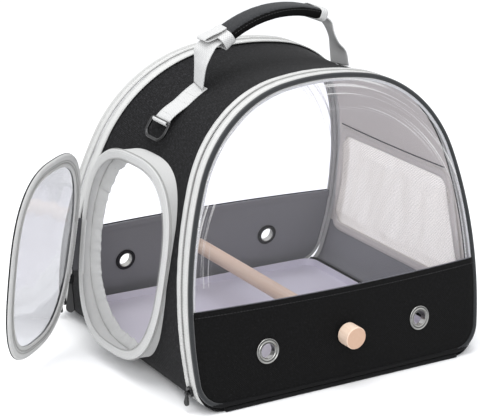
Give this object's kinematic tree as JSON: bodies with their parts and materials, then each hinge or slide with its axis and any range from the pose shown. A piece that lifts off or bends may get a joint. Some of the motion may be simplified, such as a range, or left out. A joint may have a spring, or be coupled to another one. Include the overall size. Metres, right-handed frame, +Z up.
{
  "type": "bird travel carrier",
  "caption": "Soft-sided bird travel carrier with an arched clear front and rear, zipped leaning panels, round side door, perch, tray and carry handle.",
  "frame": {"origin": "middle of the flat underside of the base", "axes": "+X across the carrier to its right, +Y from the perch-knob panel to the rear panel, +Z up"},
  "size_m": [0.4861, 0.309, 0.3532],
  "materials": {
    "black_oxford_cloth": "coarse woven polyester, matt",
    "grey_lining_cloth": "smooth woven lining, matt",
    "light_grey_piping": "rib-knit cloth over cord",
    "charcoal_piping": "plain-weave cloth over cord",
    "light_grey_tape": "zipper tape",
    "light_grey_coil": "nylon coil",
    "clear_sheet": "clear soft PVC sheet",
    "white_mesh": "fine open mesh",
    "stiff_board": "stiff plastic sheet inside the cloth",
    "spring_wire": "spring steel wire",
    "nickel": "nickel-plated steel",
    "beech": "bare sanded wood",
    "zinc_steel": "zinc-plated steel",
    "black_metal": "black painted metal",
    "black_rubber": "soft black rubber",
    "lilac_tray": "smooth plastic",
    "grey_webbing": "woven webbing",
    "grip_cloth": "padded heather cloth",
    "dark_grey_band": "woven binding tape"
  },
  "bodies": {
    "carrier": {"gusset_shell": "black_oxford_cloth", "base_panel": "black_oxford_cloth", "cabin_lining": "grey_lining_cloth", "base_piping": "charcoal_piping", "base_board": "stiff_board", "front_zip_body_coil": "light_grey_coil", "front_zip_body_tape": "light_grey_tape", "rear_zip_body_coil": "light_grey_coil", "rear_zip_body_tape": "light_grey_tape", "door_collar": "light_grey_tape", "door_rim_tape": "light_grey_tape", "door_rim_coil": "light_grey_coil", "door_hinge_tab": "dark_grey_band", "front_zip_sliders": "black_metal", "rear_zip_sliders": "black_metal", "mesh_window": "white_mesh", "mesh_binding": "grey_lining_cloth", "left_webbing_tab": "grey_webbing", "right_webbing_tab": "grey_webbing"},
    "front_panel": {"front_piping": "charcoal_piping", "front_hoop": "spring_wire", "front_cover": "black_oxford_cloth", "front_board": "grey_lining_cloth", "front_window": "clear_sheet", "front_zip_panel_tape": "light_grey_tape", "front_zip_panel_coil": "light_grey_coil", "front_eyelets": "nickel", "front_eyelet_washers": "nickel", "perch_dowel": "beech", "perch_insert": "zinc_steel", "perch_washer": "zinc_steel"},
    "rear_panel": {"rear_piping": "light_grey_piping", "rear_hoop": "spring_wire", "rear_cover": "black_oxford_cloth", "rear_board": "grey_lining_cloth", "rear_window": "clear_sheet", "rear_zip_panel_tape": "light_grey_tape", "rear_zip_panel_coil": "light_grey_coil", "rear_eyelets": "nickel", "rear_eyelet_washers": "nickel"},
    "side_door": {"door_flap_coil": "light_grey_coil", "door_flap_tape": "light_grey_tape", "door_window": "clear_sheet", "door_flap_cover": "black_oxford_cloth", "door_hinge_strip": "dark_grey_band", "door_zip_slider": "black_metal"},
    "door_zip_pull": {"door_pull": "black_rubber"},
    "front_left_zip_pull": {"front_left_pull": "black_rubber"},
    "front_right_zip_pull": {"front_right_pull": "black_rubber"},
    "rear_left_zip_pull": {"rear_left_pull": "black_rubber"},
    "rear_right_zip_pull": {"rear_right_pull": "black_rubber"},
    "tray": {"tray": "lilac_tray"},
    "left_dring": {"left_dring": "black_metal"},
    "right_dring": {"right_dring": "black_metal"},
    "handle": {"handle_strap": "grey_webbing", "handle_grip": "grip_cloth"},
    "knob": {"perch_knob": "beech", "perch_screw": "zinc_steel"}
  },
  "joints": [
    {"name": "front_panel_hinge", "type": "hinge", "parent": "carrier", "child": "front_panel", "pos_m": [0, -0.1471, 0.00395], "axis": [1, 0, 0], "range_deg": [0, 75]},
    {"name": "rear_panel_hinge", "type": "hinge", "parent": "carrier", "child": "rear_panel", "pos_m": [0, 0.1471, 0.00395], "axis": [-1, 0, 0], "range_deg": [0, 75]},
    {"name": "side_door_hinge", "type": "hinge", "parent": "carrier", "child": "side_door", "pos_m": [-0.19229, 0.06773, 0.10762], "axis": [0, 0, 1], "range_deg": [-45, 56]},
    {"name": "door_zip_pull_swing", "type": "hinge", "parent": "side_door", "child": "door_zip_pull", "pos_m": [-0.19475, 0.06754, 0.07158], "axis": [0.6157, -0.788, 0], "range_deg": [-4, 40]},
    {"name": "handle_swing", "type": "hinge", "parent": "carrier", "child": "handle", "pos_m": [0, 0, 0.29835], "axis": [1, 0, 0], "range_deg": [-50, 50]},
    {"name": "left_dring_swing", "type": "hinge", "parent": "carrier", "child": "left_dring", "pos_m": [-0.13348, 0, 0.24804], "axis": [0, 1, 0], "range_deg": [0, 140]},
    {"name": "right_dring_swing", "type": "hinge", "parent": "carrier", "child": "right_dring", "pos_m": [0.13348, 0, 0.24804], "axis": [0, -1, 0], "range_deg": [0, 140]},
    {"name": "tray_lift", "type": "slide", "parent": "carrier", "child": "tray", "axis": [0, 0, 1], "range_m": [0, 0.018]},
    {"name": "perch_knob_spin", "type": "hinge", "parent": "front_panel", "child": "knob", "pos_m": [0, -0.14404, 0.053], "axis": [0, 1, 0], "continuous": true},
    {"name": "front_left_pull_swing", "type": "hinge", "parent": "carrier", "child": "front_left_zip_pull", "pos_m": [-0.17343, -0.12924, 0.01917], "axis": [0, 1, 0], "range_deg": [0, 100]},
    {"name": "front_right_pull_swing", "type": "hinge", "parent": "carrier", "child": "front_right_zip_pull", "pos_m": [0.17343, -0.12924, 0.01917], "axis": [0, -1, 0], "range_deg": [0, 100]},
    {"name": "rear_left_pull_swing", "type": "hinge", "parent": "carrier", "child": "rear_left_zip_pull", "pos_m": [-0.17343, 0.13024, 0.01917], "axis": [0, 1, 0], "range_deg": [0, 100]},
    {"name": "rear_right_pull_swing", "type": "hinge", "parent": "carrier", "child": "rear_right_zip_pull", "pos_m": [0.17343, 0.13024, 0.01917], "axis": [0, -1, 0], "range_deg": [0, 100]}
  ]
}
